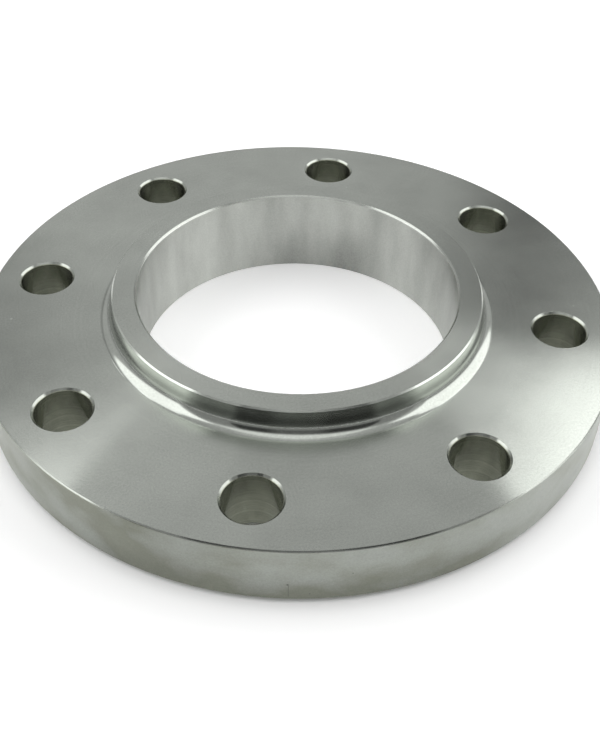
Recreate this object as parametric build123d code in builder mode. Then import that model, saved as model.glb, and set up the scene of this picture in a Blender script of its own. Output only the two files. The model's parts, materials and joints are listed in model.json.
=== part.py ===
"""Slip-on pipe flange with a short hub, eight bolt holes and a plain bore.

One forged and turned piece. Sizes are in millimetres, with +Z along the bore.
The raised sealing face lies on Z = 0, centred on the origin, and the hub points up.
"""

import os
from math import radians, tan

from build123d import *

# Across the flange, from the bore outwards
pipe_od = 114.3  # the pipe that slides into the bore
slip_gap = 0.9  # radial gap left round that pipe
hub_wall = 9.45  # wall of the hub at its base
bolt_land = 27.75  # from the base of the hub to the bolt circle
bolt_to_rim = 19.05  # from the bolt circle to the rim
sealing_width = 20.55  # from the bore to the edge of the raised face

# Along the bore
rim_thickness = 22.8
raised_face_height = 1.6
hub_height = 9.4  # hub above the back face
hub_draft = 5.0  # degrees that the hub leans in towards its top

# Bolt holes
bolt_count = 8
bolt_hole_d = 19.05

# Edges
hub_root_radius = 4.4
hub_edge_chamfer = 0.5
bore_edge_chamfer = 0.7
rim_edge_chamfer = 0.5
bolt_hole_chamfer = 0.8
raised_face_chamfer = 0.4

# Radii of the half section
bore_r = pipe_od / 2 + slip_gap
hub_base_r = bore_r + hub_wall
hub_top_r = hub_base_r - hub_height * tan(radians(hub_draft))
bolt_circle_r = hub_base_r + bolt_land
rim_r = bolt_circle_r + bolt_to_rim
raised_face_r = bore_r + sealing_width
bolt_hole_r = bolt_hole_d / 2

# Levels of the half section, up from the raised face
back_face_z = raised_face_height + rim_thickness
hub_top_z = back_face_z + hub_height

# Corners of the half section, as (radius, height)
bore_bottom = (bore_r, 0)
raised_face_edge = (raised_face_r, 0)
raised_face_foot = (raised_face_r, raised_face_height)
rim_bottom = (rim_r, raised_face_height)
rim_top = (rim_r, back_face_z)
hub_root = (hub_base_r, back_face_z)
hub_edge = (hub_top_r, hub_top_z)
bore_top = (bore_r, hub_top_z)

edge_breaks = [
    (bore_bottom, raised_face_chamfer),
    (raised_face_edge, raised_face_chamfer),
    (rim_bottom, rim_edge_chamfer),
    (rim_top, rim_edge_chamfer),
    (hub_edge, hub_edge_chamfer),
    (bore_top, bore_edge_chamfer),
]


def corner_at(sketch, point):
    """The corner of a sketch that lies nearest to a point."""
    return sketch.vertices().sort_by_distance(Vector(*point))[0]


with BuildPart() as flange:
    # The turned body: its half section, swung round the bore's axis
    with BuildSketch(Plane.XZ) as half_section:
        with BuildLine():
            Polyline(
                bore_bottom,
                raised_face_edge,
                raised_face_foot,
                rim_bottom,
                rim_top,
                hub_root,
                hub_edge,
                bore_top,
                close=True,
            )
        make_face()
        fillet(corner_at(half_section, hub_root), hub_root_radius)
        for corner, leg in edge_breaks:
            chamfer(corner_at(half_section, corner), leg)
    revolve(axis=Axis.Z)

    # The drilled bolt holes straddle the X and Y axes and are chamfered on the nuts' side
    with Locations((0, 0, back_face_z)):
        with PolarLocations(bolt_circle_r, bolt_count, start_angle=180 / bolt_count):
            Hole(bolt_hole_r)
    hole_edges = flange.edges(Select.LAST).filter_by(GeomType.CIRCLE)
    chamfer(hole_edges.group_by(Axis.Z)[-1], bolt_hole_chamfer)

flange.part.label = "flange"

os.makedirs("parts", exist_ok=True)
export_step(flange.part, "parts/flange.step")
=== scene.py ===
"""Slip-on pipe flange in turned steel, seen from above on a white floor."""
import json
from math import cos, pi, radians, sin, tan
from types import SimpleNamespace

import bmesh
import bpy
from mathutils import Matrix, Vector


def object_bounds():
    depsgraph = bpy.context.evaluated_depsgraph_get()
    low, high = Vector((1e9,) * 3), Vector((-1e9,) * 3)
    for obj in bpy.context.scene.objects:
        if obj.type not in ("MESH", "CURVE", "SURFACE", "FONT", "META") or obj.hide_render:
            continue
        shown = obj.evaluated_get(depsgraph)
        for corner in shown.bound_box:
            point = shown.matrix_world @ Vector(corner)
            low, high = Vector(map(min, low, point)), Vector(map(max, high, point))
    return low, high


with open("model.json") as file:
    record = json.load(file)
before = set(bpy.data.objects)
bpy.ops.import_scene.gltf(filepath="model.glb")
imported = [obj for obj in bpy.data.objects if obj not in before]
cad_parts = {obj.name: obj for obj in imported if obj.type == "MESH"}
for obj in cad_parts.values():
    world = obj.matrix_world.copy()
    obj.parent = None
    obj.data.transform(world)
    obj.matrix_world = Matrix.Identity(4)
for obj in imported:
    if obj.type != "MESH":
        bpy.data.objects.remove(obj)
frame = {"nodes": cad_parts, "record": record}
cad_low, cad_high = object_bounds()
scene = bpy.context.scene

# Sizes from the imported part, in metres
mounts = {mount["name"]: mount for mount in frame["record"]["mounts"]}
BORE_R = mounts["bore"]["dims"]["r_mm"] / 1000
BOLT_CIRCLE_R = mounts["bolt_circle"]["dims"]["pcd_mm"] / 2000
BOLT_COUNT = mounts["bolt_circle"]["dims"]["count"]
BOLT_HOLE_R = mounts["bolt_circle"]["dims"]["hole_r_mm"] / 1000
BACK_FACE_Z = mounts["nut_face"]["pos_m"][2]
HUB_TOP_Z = cad_high.z
RIM_R = cad_high.x

# The hub, whose wall leans in towards its top and meets the back face in a round
HUB_FOOT_R = 0.0675
HUB_LEAN = radians(5)
HUB_EDGE_BREAK = 0.0005
ROOT_ROUND = 0.0044
HUB_TOP_R = HUB_FOOT_R - (HUB_TOP_Z - BACK_FACE_Z) * tan(HUB_LEAN)
ROOT_CENTRE_R = HUB_FOOT_R + ROOT_ROUND * (1 / cos(HUB_LEAN) - tan(HUB_LEAN))
ROOT_CENTRE_Z = BACK_FACE_Z + ROOT_ROUND
ROOT_TOP_R = ROOT_CENTRE_R - ROOT_ROUND * cos(HUB_LEAN)
ROOT_TOP_Z = ROOT_CENTRE_Z - ROOT_ROUND * sin(HUB_LEAN)

# The photograph's view, worked out from the circles seen in it
PICTURE_W = 600
PICTURE_H = 750
FOCAL_PX = 1009.8
SENSOR = 36.0
VIEW_ELEVATION = 42.206
VIEW_DISTANCE = 0.3423
VIEW_TARGET = (0.00162, -0.03930)
VIEW_ROLL = 1.26
VIEW_TURN = -15.28  # the studio is turned this far about the bore, so that the bolt holes match


def make_camera():
    """The camera at the photograph's viewpoint."""
    data = bpy.data.cameras.new("camera")
    data.sensor_fit = "AUTO"
    data.sensor_width = SENSOR
    data.lens = FOCAL_PX * SENSOR / max(PICTURE_W, PICTURE_H)
    data.clip_start = 0.01
    data.clip_end = 50
    camera = bpy.data.objects.new("camera", data)
    scene.collection.objects.link(camera)
    elevation = radians(VIEW_ELEVATION)
    back = Vector((0, -cos(elevation), sin(elevation)))
    place = Vector((*VIEW_TARGET, BACK_FACE_Z)) + back * VIEW_DISTANCE
    aim = back.to_track_quat("Z", "Y").to_matrix().to_4x4() @ Matrix.Rotation(radians(VIEW_ROLL), 4, "Z")
    camera.matrix_world = Matrix.Rotation(radians(VIEW_TURN), 4, "Z") @ Matrix.Translation(place) @ aim
    scene.camera = camera


# Short helpers for shader nodes. A value is a number, a tuple or another node's output.

MIX_SOCKETS = {"FLOAT": (2, 3, 0), "RGBA": (6, 7, 2)}  # a Mix node's two inputs and its output


def new_material(name):
    """An empty node material and its node tree."""
    material = bpy.data.materials.new(name)
    material.use_nodes = True
    material.node_tree.nodes.clear()
    return material, material.node_tree


def wire(tree, value, socket):
    if isinstance(value, bpy.types.NodeSocket):
        tree.links.new(value, socket)
    else:
        socket.default_value = value


def maths(tree, operation, *values):
    node = tree.nodes.new("ShaderNodeMath")
    node.operation = operation
    for value, socket in zip(values, node.inputs):
        wire(tree, value, socket)
    return node.outputs[0]


def chain(tree, operation, values):
    """Any number of values, put together by one operation."""
    result = values[0]
    for value in values[1:]:
        result = maths(tree, operation, result, value)
    return result


def product(tree, *values):
    return chain(tree, "MULTIPLY", values)


def total(tree, *values):
    return chain(tree, "ADD", values)


def vectors(tree, operation, *values):
    node = tree.nodes.new("ShaderNodeVectorMath")
    node.operation = operation
    for value, socket in zip(values, node.inputs):
        wire(tree, value, socket)
    return node.outputs["Value"] if operation in ("LENGTH", "DISTANCE") else node.outputs["Vector"]


def scaled(tree, vector, factor):
    node = tree.nodes.new("ShaderNodeVectorMath")
    node.operation = "SCALE"
    wire(tree, vector, node.inputs["Vector"])
    wire(tree, factor, node.inputs["Scale"])
    return node.outputs["Vector"]


def split(tree, vector):
    node = tree.nodes.new("ShaderNodeSeparateXYZ")
    wire(tree, vector, node.inputs[0])
    return node.outputs


def join(tree, x, y, z):
    node = tree.nodes.new("ShaderNodeCombineXYZ")
    for value, socket in zip((x, y, z), node.inputs):
        wire(tree, value, socket)
    return node.outputs[0]


def above(tree, value, limit):
    return maths(tree, "GREATER_THAN", value, limit)


def below(tree, value, limit):
    return maths(tree, "LESS_THAN", value, limit)


def between(tree, value, low, high):
    return product(tree, above(tree, value, low), below(tree, value, high))


def ramp(tree, value, low, high, at_low=0.0, at_high=1.0):
    """A smooth step from one level to another."""
    node = tree.nodes.new("ShaderNodeMapRange")
    node.interpolation_type = "SMOOTHSTEP"
    settings = {"Value": value, "From Min": low, "From Max": high, "To Min": at_low, "To Max": at_high}
    for name, setting in settings.items():
        wire(tree, setting, node.inputs[name])
    return node.outputs[0]


def window(tree, value, low, high, soft):
    """One between two limits and nought outside, with soft edges."""
    rise = ramp(tree, value, low - soft, low + soft)
    fall = ramp(tree, value, high - soft, high + soft, 1.0, 0.0)
    return product(tree, rise, fall)


def sector(tree, turn, limits):
    """A window on a sector about the bore, given in degrees."""
    return window(tree, turn, *(radians(limit) for limit in limits))


def blend(tree, mask, low, high, kind="FLOAT"):
    """The first value where the mask is nought, the second where it is one."""
    node = tree.nodes.new("ShaderNodeMix")
    node.data_type = kind
    first, second, result = MIX_SOCKETS[kind]
    for value, socket in ((mask, 0), (low, first), (high, second)):
        wire(tree, value, node.inputs[socket])
    return node.outputs[result]


def noise(tree, place, scale, detail):
    """Smooth noise of about -1 to 1, with this many cells in a unit of length."""
    node = tree.nodes.new("ShaderNodeTexNoise")
    node.inputs["Scale"].default_value = scale
    node.inputs["Detail"].default_value = detail
    wire(tree, place, node.inputs["Vector"])
    return maths(tree, "MULTIPLY_ADD", node.outputs[0], 4.0, -2.0)


def rgba(colour):
    return (*colour, 1.0)


def around(degrees, reach, height):
    """The point at a turn about the bore, a distance from its axis and a height."""
    return (reach * cos(radians(degrees)), reach * sin(radians(degrees)), height)


# Turned steel

STEEL = (0.411, 0.432, 0.399)
BORED = (0.49, 0.505, 0.475)
# The drilled holes' own colour; a share of it on their chamfers is painted shade
DRILLED_AND_EDGE_SHADE = (0.30, 0.315, 0.255)
# The colour of the rim's stain, also used for the painted shade towards its foot
RIM_STAIN_AND_SHADE = (0.215, 0.225, 0.187)
GRIME = (0.12, 0.125, 0.11)
# Darkening the chamfer of a bolt hole is painted shade for its dark reflections
HOLE_EDGE_PAINTED_SHADE = 0.15  # how far the chamfer of a bolt hole takes on the colour inside it

TURNED_GRAIN = 1.0  # anisotropy: light spreads across the fine lathe grooves
FACE_ROUGHNESS = 0.155
HUB_ROUGHNESS = 0.12
WALL_ROUGHNESS = 0.30
HOLE_ROUGHNESS = 0.25
ROUGHNESS_SPREAD = 0.008
SERRATION_PITCH = 0.0008  # of the grooves turned in the raised sealing face
SERRATION_DEPTH = 0.00006

# How near to a surface a point counts as on it, in metres
EDGE = 0.0002
HOLE_EDGE = 0.0009  # this takes in a bolt hole's chamfer
ROOT_MARGIN_R = 0.00005  # a facet of the root may lie this far inside its true round
ROOT_MARGIN_Z = 0.00001  # keeps the flat face and the straight wall out of the root

# Strength of each pattern, as a share of the steel's colour
BLOTCHES = 0.08
RINGS = 0.022
GRAIN = 0.085
RIM_STREAKS = 0.22
BORE_STREAKS = 0.24
FEED_MARKS = 0.28
SMEARS = 0.26
SMEAR_STRETCH = 0.6  # smears are a little longer along the hole than across it

# The bore's painted highlight on one side and its painted shade near the foot, which stands for the
# reflected contact shadow of the floor, as (from, to, softness) in degrees about the bore
BORE_HIGHLIGHT_SECTOR = (82, 142, 14)
BORE_PAINTED_HIGHLIGHT = 0.12
BORE_SHADE_SECTOR = (42, 88, 14)
BORE_FOOT_PAINTED_SHADE = 0.20
BORE_SHADE_LOW_Z = 0.006
BORE_SHADE_TOP_Z = 0.024

# The hub's wall: painted shade darkens its foot and painted light brightens its top, standing in for how
# light falls on it
HUB_WALL_Z = 0.0285
HUB_WALL_SOFTNESS = 0.0004
HUB_SHADE_FOOT_Z = 0.0293
HUB_SHADE_TOP_Z = 0.0327
HUB_FOOT_PAINTED_SHADE = -0.24
HUB_TOP_PAINTED_LIGHT = 0.30

# Stain and painted shade on the rim: its level, and what streaks, height and two sectors add to it. The
# streaks are stain. The darkening towards the foot, strongest in the front sector, is painted shade for
# the rim's reflection of the floor's shadow, and the left sector is a little darker
STAIN_AND_SHADE_LEVEL = 0.36
STAIN_STREAKS = 0.8
FOOT_SHADE_TOP_Z = 0.017
FOOT_SHADE_FADE = -0.12
FRONT_SECTOR = (-138, -72, 12)
FRONT_FOOT_SHADE = 0.78
FRONT_SHADE_FADE = -0.66
LEFT_SECTOR = (-152, -118, 10)
LEFT_DARKENING = 0.35

# Small marks on the rim as (degrees about the bore, height, radius), in metres
RIM_SPOTS = ((-105.63, 0.0089, 0.00045), (-102.3, 0.0045, 0.0003), (-96.0, 0.0132, 0.00025))
SCRATCH_SECTOR = (-105.55, -105.45, 0.05)
SCRATCH_HEIGHTS = (0.003, 0.0089, 0.0005)
SCRATCH = 0.7

# Pale specks on the back face as (degrees about the bore, distance from the bore's axis, radius)
FACE_SPECKS = (
    (-14.2, 0.102, 0.0004),
    (-188.2, 0.1031, 0.0006),
    (-53.0, 0.0885, 0.0003),
    (61.0, 0.083, 0.0003),
)
SPECK = 0.30


def find_places(tree):
    """The point that is shaded, and masks that say where on the flange it lies."""
    at = SimpleNamespace()
    at.place = tree.nodes.new("ShaderNodeTexCoord").outputs["Object"]
    at.x, at.y, at.z = split(tree, at.place)
    at.flat = join(tree, at.x, at.y, 0.0)
    at.radius = vectors(tree, "LENGTH", at.flat)
    at.outwards = vectors(tree, "NORMALIZE", at.flat)
    at.turn = maths(tree, "ARCTAN2", at.y, at.x)

    # The nearest bolt hole
    step = 2 * pi / BOLT_COUNT
    hole_turn = total(tree, maths(tree, "SNAP", at.turn, step), step / 2)
    hole_x = product(tree, maths(tree, "COSINE", hole_turn), BOLT_CIRCLE_R)
    hole_y = product(tree, maths(tree, "SINE", hole_turn), BOLT_CIRCLE_R)
    at.hole = join(tree, hole_x, hole_y, 0.0)
    hole_radius = vectors(tree, "DISTANCE", at.flat, at.hole)
    at.by_hole = below(tree, hole_radius, BOLT_HOLE_R + HOLE_EDGE)
    at.in_hole = below(tree, hole_radius, BOLT_HOLE_R + EDGE)

    at.in_bore = below(tree, at.radius, BORE_R + EDGE)
    at.on_rim = above(tree, at.radius, RIM_R - EDGE)
    at.on_wall = maths(tree, "MAXIMUM", at.in_bore, at.on_rim)
    at.on_hub = between(tree, at.radius, HUB_TOP_R - HUB_EDGE_BREAK, ROOT_CENTRE_R)
    at.on_seal = below(tree, at.z, EDGE)
    return at


def grooved_surface(tree, at):
    """The normal, and the direction across the grooves, which run round the bore or a bolt hole."""
    arm = vectors(tree, "SUBTRACT", at.flat, scaled(tree, at.hole, at.by_hole))
    arm_x, arm_y, _ = split(tree, arm)
    groove = vectors(tree, "NORMALIZE", join(tree, product(tree, arm_y, -1.0), arm_x, 0.0))

    # The round at the hub's root has its exact normal, so that no facets show in its reflections
    in_root_r = between(tree, at.radius, ROOT_TOP_R - ROOT_MARGIN_R, ROOT_CENTRE_R)
    in_root_z = between(tree, at.z, BACK_FACE_Z + ROOT_MARGIN_Z, ROOT_TOP_Z - ROOT_MARGIN_Z)
    in_root = product(tree, in_root_r, in_root_z)
    root_out = scaled(tree, at.outwards, maths(tree, "SUBTRACT", ROOT_CENTRE_R, at.radius))
    root_up = join(tree, 0.0, 0.0, maths(tree, "SUBTRACT", ROOT_CENTRE_Z, at.z))
    root_normal = vectors(tree, "NORMALIZE", vectors(tree, "ADD", root_out, root_up))
    mesh_normal = tree.nodes.new("ShaderNodeNewGeometry").outputs["Normal"]
    elsewhere = scaled(tree, mesh_normal, maths(tree, "SUBTRACT", 1.0, in_root))
    normal = vectors(tree, "ADD", elsewhere, scaled(tree, root_normal, in_root))
    return normal, vectors(tree, "CROSS_PRODUCT", groove, normal)


def axial_streaks(tree, at, stretch, scale, detail):
    """Noise that changes round a wall and more slowly along it."""
    out_x, out_y, _ = split(tree, at.outwards)
    return noise(tree, join(tree, out_x, out_y, product(tree, at.z, stretch)), scale, detail)


def making_marks(tree, at, blotches, streaks):
    """Blotches and turning rings on the faces, streaks on the rim and bore, feed marks in the holes."""
    rings = noise(tree, join(tree, at.radius, at.z, 0.0), scale=900.0, detail=3.0)
    shade = total(tree, product(tree, blotches, BLOTCHES), product(tree, rings, RINGS))
    shade = blend(tree, at.on_rim, shade, product(tree, streaks, RIM_STREAKS))
    bore_streaks = axial_streaks(tree, at, stretch=5.0, scale=4.0, detail=3.0)
    shade = blend(tree, at.in_bore, shade, product(tree, bore_streaks, BORE_STREAKS))

    feed = noise(tree, join(tree, 0.0, 0.0, at.z), scale=1100.0, detail=2.0)
    smeared = join(tree, at.x, at.y, product(tree, at.z, SMEAR_STRETCH))
    smears = noise(tree, smeared, scale=160.0, detail=3.0)
    drilled = total(tree, product(tree, feed, FEED_MARKS), product(tree, smears, SMEARS))
    shade = blend(tree, at.in_hole, shade, drilled)
    grain = noise(tree, at.place, scale=1600.0, detail=3.0)
    return total(tree, shade, product(tree, grain, GRAIN))


def bore_painted_light_and_shade(tree, at):
    """Painted light on the bore: a painted highlight on one side, and painted shade near its foot for the
    reflected contact shadow of the floor.
    """
    bright = product(tree, sector(tree, at.turn, BORE_HIGHLIGHT_SECTOR), BORE_PAINTED_HIGHLIGHT)
    low_down = ramp(tree, at.z, BORE_SHADE_LOW_Z, BORE_SHADE_TOP_Z, BORE_FOOT_PAINTED_SHADE, 0.0)
    painted_foot_shade = product(tree, sector(tree, at.turn, BORE_SHADE_SECTOR), low_down)
    return product(tree, maths(tree, "SUBTRACT", bright, painted_foot_shade), at.in_bore)


def hub_wall_painted_light(tree, at):
    """Painted light and shade on the hub's wall, which is brighter towards its top and darker at its foot.
    """
    on_wall = ramp(tree, at.z, HUB_WALL_Z - HUB_WALL_SOFTNESS, HUB_WALL_Z + HUB_WALL_SOFTNESS)
    level = ramp(tree, at.z, HUB_SHADE_FOOT_Z, HUB_SHADE_TOP_Z, HUB_FOOT_PAINTED_SHADE, HUB_TOP_PAINTED_LIGHT)
    return product(tree, level, at.on_hub, on_wall)


def rim_stain_and_shade(tree, at, streaks):
    """Streaks of stain on the rim, and painted shade towards its foot, most of all in front, for the rim's
    reflection of the floor's shadow; a sector to the left is darker too.
    """
    front = sector(tree, at.turn, FRONT_SECTOR)
    left = sector(tree, at.turn, LEFT_SECTOR)
    fade = total(tree, product(tree, front, FRONT_SHADE_FADE), FOOT_SHADE_FADE)
    stain_and_shade = total(
        tree,
        product(tree, ramp(tree, at.z, 0.0, FOOT_SHADE_TOP_Z), fade),
        product(tree, streaks, STAIN_STREAKS),
        product(tree, left, LEFT_DARKENING),
        product(tree, front, FRONT_FOOT_SHADE),
        STAIN_AND_SHADE_LEVEL,
    )
    return product(tree, maths(tree, "MAXIMUM", stain_and_shade, 0.0), at.on_rim)


def round_marks(tree, place, points):
    """One within any of some small round marks, each given as a point and a radius."""
    mask = 0.0
    for point, size in points:
        distance = vectors(tree, "DISTANCE", place, point)
        mask = maths(tree, "MAXIMUM", mask, ramp(tree, distance, 0.5 * size, size, 1.0, 0.0))
    return mask


def turned_steel():
    """Bright turned steel: lathe grooves round the bore, and round each bolt hole inside it."""
    material, tree = new_material("turned_steel")
    at = find_places(tree)
    normal, across = grooved_surface(tree, at)
    blotches = noise(tree, at.place, scale=45.0, detail=4.0)
    streaks = axial_streaks(tree, at, stretch=14.0, scale=5.0, detail=4.0)

    # Dark spots and one fine scratch on the rim, and pale specks on the back face
    spots = [(around(degrees, RIM_R, height), size) for degrees, height, size in RIM_SPOTS]
    scratch_side = sector(tree, at.turn, SCRATCH_SECTOR)
    scratch = product(tree, scratch_side, window(tree, at.z, *SCRATCH_HEIGHTS), at.on_rim, SCRATCH)
    grime = maths(tree, "MAXIMUM", round_marks(tree, at.place, spots), scratch)
    specks = [(around(degrees, reach, BACK_FACE_Z), size) for degrees, reach, size in FACE_SPECKS]
    speck = product(tree, round_marks(tree, at.place, specks), SPECK)

    colour = blend(tree, at.in_bore, rgba(STEEL), rgba(BORED), "RGBA")
    # The rim's tint is stain with painted shade towards its foot, and the tint on a bolt hole's chamfer is
    # painted shade
    tints = (
        (rim_stain_and_shade(tree, at, streaks), RIM_STAIN_AND_SHADE),
        (product(tree, at.by_hole, HOLE_EDGE_PAINTED_SHADE), DRILLED_AND_EDGE_SHADE),
        (at.in_hole, DRILLED_AND_EDGE_SHADE),
        (grime, GRIME),
    )
    for mask, tint in tints:
        colour = blend(tree, mask, colour, rgba(tint), "RGBA")
    marks = making_marks(tree, at, blotches, streaks)
    # The bore and the hub's wall add painted highlight and painted shade here
    shade = total(tree, marks, bore_painted_light_and_shade(tree, at), hub_wall_painted_light(tree, at), 1.0, speck)

    roughness = blend(tree, at.on_hub, FACE_ROUGHNESS, HUB_ROUGHNESS)
    roughness = blend(tree, at.on_wall, roughness, WALL_ROUGHNESS)
    roughness = blend(tree, at.in_hole, roughness, HOLE_ROUGHNESS)
    roughness = total(tree, roughness, product(tree, blotches, ROUGHNESS_SPREAD))

    # The grooves of the sealing face are deep enough to see
    serration = tree.nodes.new("ShaderNodeBump")
    serration.inputs["Distance"].default_value = SERRATION_DEPTH
    wave = maths(tree, "SINE", product(tree, at.radius, 2 * pi / SERRATION_PITCH))
    wire(tree, product(tree, wave, at.on_seal), serration.inputs["Height"])
    wire(tree, normal, serration.inputs["Normal"])

    steel = tree.nodes.new("ShaderNodeBsdfPrincipled")
    steel.inputs["Metallic"].default_value = 1.0
    steel.inputs["Anisotropic"].default_value = TURNED_GRAIN
    wire(tree, scaled(tree, colour, shade), steel.inputs["Base Color"])
    wire(tree, roughness, steel.inputs["Roughness"])
    wire(tree, serration.outputs[0], steel.inputs["Normal"])
    wire(tree, across, steel.inputs["Tangent"])
    wire(tree, steel.outputs[0], tree.nodes.new("ShaderNodeOutputMaterial").inputs[0])
    return material


# The floor

FLOOR_HALF = 2.6
FLOOR_PAINT = 0.9
FLOOR_LIFT = 0.26
# Between these radii, under the part and just past its rim, the floor gets no lift for the camera: painted
# shadow that keeps it darker there
SHADOW_RING_FROM = BORE_R + 0.008  # the floor between these radii is under the part
SHADOW_RING_TO = RIM_R + 0.001
SHADOW_RING_SOFTNESS = 0.005


def floor_material():
    """White paint, lifted slightly for the camera and for reflections, though not under the part and just
    past its rim: the lift left off there is painted shadow.
    """
    material, tree = new_material("white_floor")
    paint = tree.nodes.new("ShaderNodeBsdfDiffuse")
    paint.inputs["Color"].default_value = rgba((FLOOR_PAINT, FLOOR_PAINT, FLOOR_PAINT))
    path = tree.nodes.new("ShaderNodeLightPath").outputs
    x, y, _ = split(tree, tree.nodes.new("ShaderNodeTexCoord").outputs["Object"])
    radius = vectors(tree, "LENGTH", join(tree, x, y, 0.0))
    # The ring without lift is painted shadow under and round the part
    painted_shadow_ring = window(tree, radius, SHADOW_RING_FROM, SHADOW_RING_TO, SHADOW_RING_SOFTNESS)
    seen = product(tree, path["Is Camera Ray"], maths(tree, "SUBTRACT", 1.0, painted_shadow_ring))
    seen = maths(tree, "MAXIMUM", seen, path["Is Glossy Ray"])
    seen = maths(tree, "MAXIMUM", seen, path["Is Transmission Ray"])
    lift = tree.nodes.new("ShaderNodeEmission")
    wire(tree, product(tree, seen, FLOOR_LIFT), lift.inputs["Strength"])
    both = tree.nodes.new("ShaderNodeAddShader")
    wire(tree, paint.outputs[0], both.inputs[0])
    wire(tree, lift.outputs[0], both.inputs[1])
    wire(tree, both.outputs[0], tree.nodes.new("ShaderNodeOutputMaterial").inputs[0])
    return material


def make_floor():
    half = FLOOR_HALF
    mesh = bpy.data.meshes.new("floor")
    corners = [(-half, -half, 0), (half, -half, 0), (half, half, 0), (-half, half, 0)]
    mesh.from_pydata(corners, [], [(0, 1, 2, 3)])
    mesh.materials.append(floor_material())
    floor = bpy.data.objects.new("floor", mesh)
    scene.collection.objects.link(floor)


# The light tent. Azimuth 0 is the camera's side and 90 its right, both in degrees like the elevation.
# A span is (from, to, softness), and an edge is (from, to).

TENT_RADIUS = 4.0
WALL_GREY = 0.71
LOW_GREY = 0.36
LOW_EDGE = (0, 16)
ROOF_EDGE = (45, 69)
ROOF_FRONT = 1.05
ROOF_BACK = 0.34
TOP_EDGE = (72, 80)
ROOF_TOP = 0.85

# A bright patch in the roof, as the spans of its azimuth and elevation
ROOF_LAMP = 1.4
LAMP_PATCH = ((-60, 60, 5), (56, 88, 3))

# The dark side behind the camera, with an opening at each side of the middle
CAMERA_SPAN = (-60, 66, 2)
CAMERA_EDGE = (44, 54)
SIDE_STRIP = 0.40
OPENING_PATCH = ((-34.4, 47, 0.6), (18, 50, 4))
OPENING = 0.05
MIDDLE_SPAN = (-12, 17, 5)
MIDDLE = 0.18

# Darker gaps beyond the panels, as azimuth, elevation and level, and folds of the far wall, as
# azimuth, elevation and the change of level
GAPS = (
    ((159.4, 167.2, 2.5), (18, 46, 4), 0.17),
    ((-158.5, -150, 3), (26, 46, 4), 0.34),
)
FOLDS = (
    ((-176, -164, 5), (39, 54, 3), 0.13),
    ((166, 175, 3), (18, 39, 4), -0.12),
)

# The bright side panels: the span of each in azimuth away from the camera, then its top and bottom
# edge as (elevation, where it bends, slope beyond the bend), and where its hot far end starts
RIGHT_PANEL = ((74, 159.0, 1), (59.5, 134, 0.40), (14.1, 117.4, 0.65), (151, 157), (34, 40))
LEFT_PANEL = ((63.6, 157.0, 1), (61.8, 128, 0.43), (15.3, 82, 0.47), (147, 153), (41, 47))
PANEL_TOP_SOFTNESS = 1
PANEL_BOTTOM_SOFTNESS = 2
PANEL = 2.25
PANEL_HOT = 4.45


def patch(tree, azimuth, elevation, across, upwards):
    """One within a patch of the tent, given as its two spans."""
    return product(tree, window(tree, azimuth, *across), window(tree, elevation, *upwards))


def beyond(tree, value, limit, slope):
    """A straight slope that starts at a limit."""
    return product(tree, maths(tree, "MAXIMUM", maths(tree, "SUBTRACT", value, limit), 0.0), slope)


def add_panel(tree, level, azimuth, elevation, shape):
    """A bright panel whose edges turn down or up towards the back, with a hotter far end."""
    span, (top, top_bend, top_fall), (bottom, bottom_bend, bottom_rise), far_edge, high_edge = shape
    under = total(tree, elevation, beyond(tree, azimuth, top_bend, top_fall))
    over = maths(tree, "SUBTRACT", elevation, beyond(tree, azimuth, bottom_bend, bottom_rise))
    below_top = ramp(tree, under, top - PANEL_TOP_SOFTNESS, top + PANEL_TOP_SOFTNESS, 1.0, 0.0)
    above_bottom = ramp(tree, over, bottom - PANEL_BOTTOM_SOFTNESS, bottom + PANEL_BOTTOM_SOFTNESS)
    mask = product(tree, window(tree, azimuth, *span), below_top, above_bottom)
    hot = product(tree, ramp(tree, azimuth, *far_edge), ramp(tree, elevation, *high_edge))
    return blend(tree, mask, level, blend(tree, hot, PANEL, PANEL_HOT))


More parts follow.
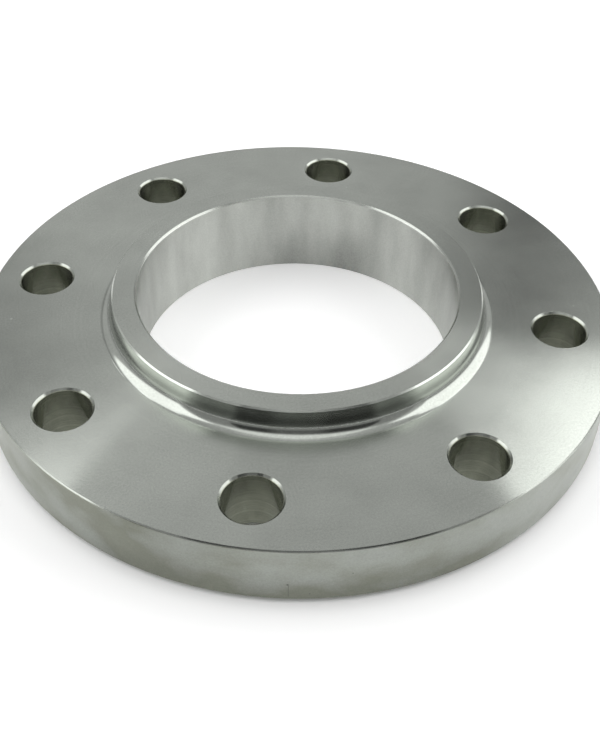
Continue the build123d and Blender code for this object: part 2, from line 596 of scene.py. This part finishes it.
def tent_material():
    """Grey tent with a lighter roof, a bright panel on each side and dark openings by the camera."""
    material, tree = new_material("tent")
    x, y, z = split(tree, tree.nodes.new("ShaderNodeTexCoord").outputs["Object"])
    azimuth = product(tree, maths(tree, "ARCTAN2", x, product(tree, y, -1.0)), 180 / pi)
    elevation = product(tree, maths(tree, "ARCSINE", product(tree, z, 1 / TENT_RADIUS)), 180 / pi)

    towards_back = maths(tree, "MULTIPLY_ADD", y, 0.5 / TENT_RADIUS, 0.5)
    roof = blend(tree, towards_back, ROOF_FRONT, ROOF_BACK)
    level = blend(tree, ramp(tree, elevation, *ROOF_EDGE), WALL_GREY, roof)
    level = blend(tree, ramp(tree, elevation, *LOW_EDGE), LOW_GREY, level)
    level = blend(tree, ramp(tree, elevation, *TOP_EDGE), level, ROOF_TOP)
    level = blend(tree, patch(tree, azimuth, elevation, *LAMP_PATCH), level, ROOF_LAMP)

    low = ramp(tree, elevation, *CAMERA_EDGE, 1.0, 0.0)
    level = blend(tree, product(tree, window(tree, azimuth, *CAMERA_SPAN), low), level, SIDE_STRIP)
    opening = blend(tree, window(tree, azimuth, *MIDDLE_SPAN), OPENING, MIDDLE)
    level = blend(tree, patch(tree, azimuth, elevation, *OPENING_PATCH), level, opening)

    for across, upwards, grey in GAPS:
        level = blend(tree, patch(tree, azimuth, elevation, across, upwards), level, grey)
    for across, upwards, change in FOLDS:
        level = total(tree, level, product(tree, patch(tree, azimuth, elevation, across, upwards), change))

    level = add_panel(tree, level, azimuth, elevation, RIGHT_PANEL)
    level = add_panel(tree, level, product(tree, azimuth, -1.0), elevation, LEFT_PANEL)

    glow = tree.nodes.new("ShaderNodeEmission")
    wire(tree, level, glow.inputs["Strength"])
    wire(tree, glow.outputs[0], tree.nodes.new("ShaderNodeOutputMaterial").inputs[0])
    return material


def make_tent():
    """A dome round the set that lights it evenly. The camera sees past it."""
    shell = bmesh.new()
    bmesh.ops.create_uvsphere(shell, u_segments=96, v_segments=48, radius=TENT_RADIUS)
    under_floor = [vertex for vertex in shell.verts if vertex.co.z < -0.01]
    bmesh.ops.delete(shell, geom=under_floor, context="VERTS")
    mesh = bpy.data.meshes.new("tent")
    shell.to_mesh(mesh)
    shell.free()
    mesh.materials.append(tent_material())
    tent = bpy.data.objects.new("tent", mesh)
    tent.rotation_euler.z = radians(VIEW_TURN)
    tent.visible_camera = False
    scene.collection.objects.link(tent)


def make_world():
    """Plain white behind the set, for the camera, which sees past the tent."""
    world = bpy.data.worlds.new("studio")
    world.use_nodes = True
    world.node_tree.nodes["Background"].inputs["Color"].default_value = (1, 1, 1, 1)
    scene.world = world


scene.view_settings.view_transform = "Standard"

flange = frame["nodes"]["flange"]
flange.data.materials.clear()
flange.data.materials.append(turned_steel())

make_floor()
make_tent()
make_world()
make_camera()
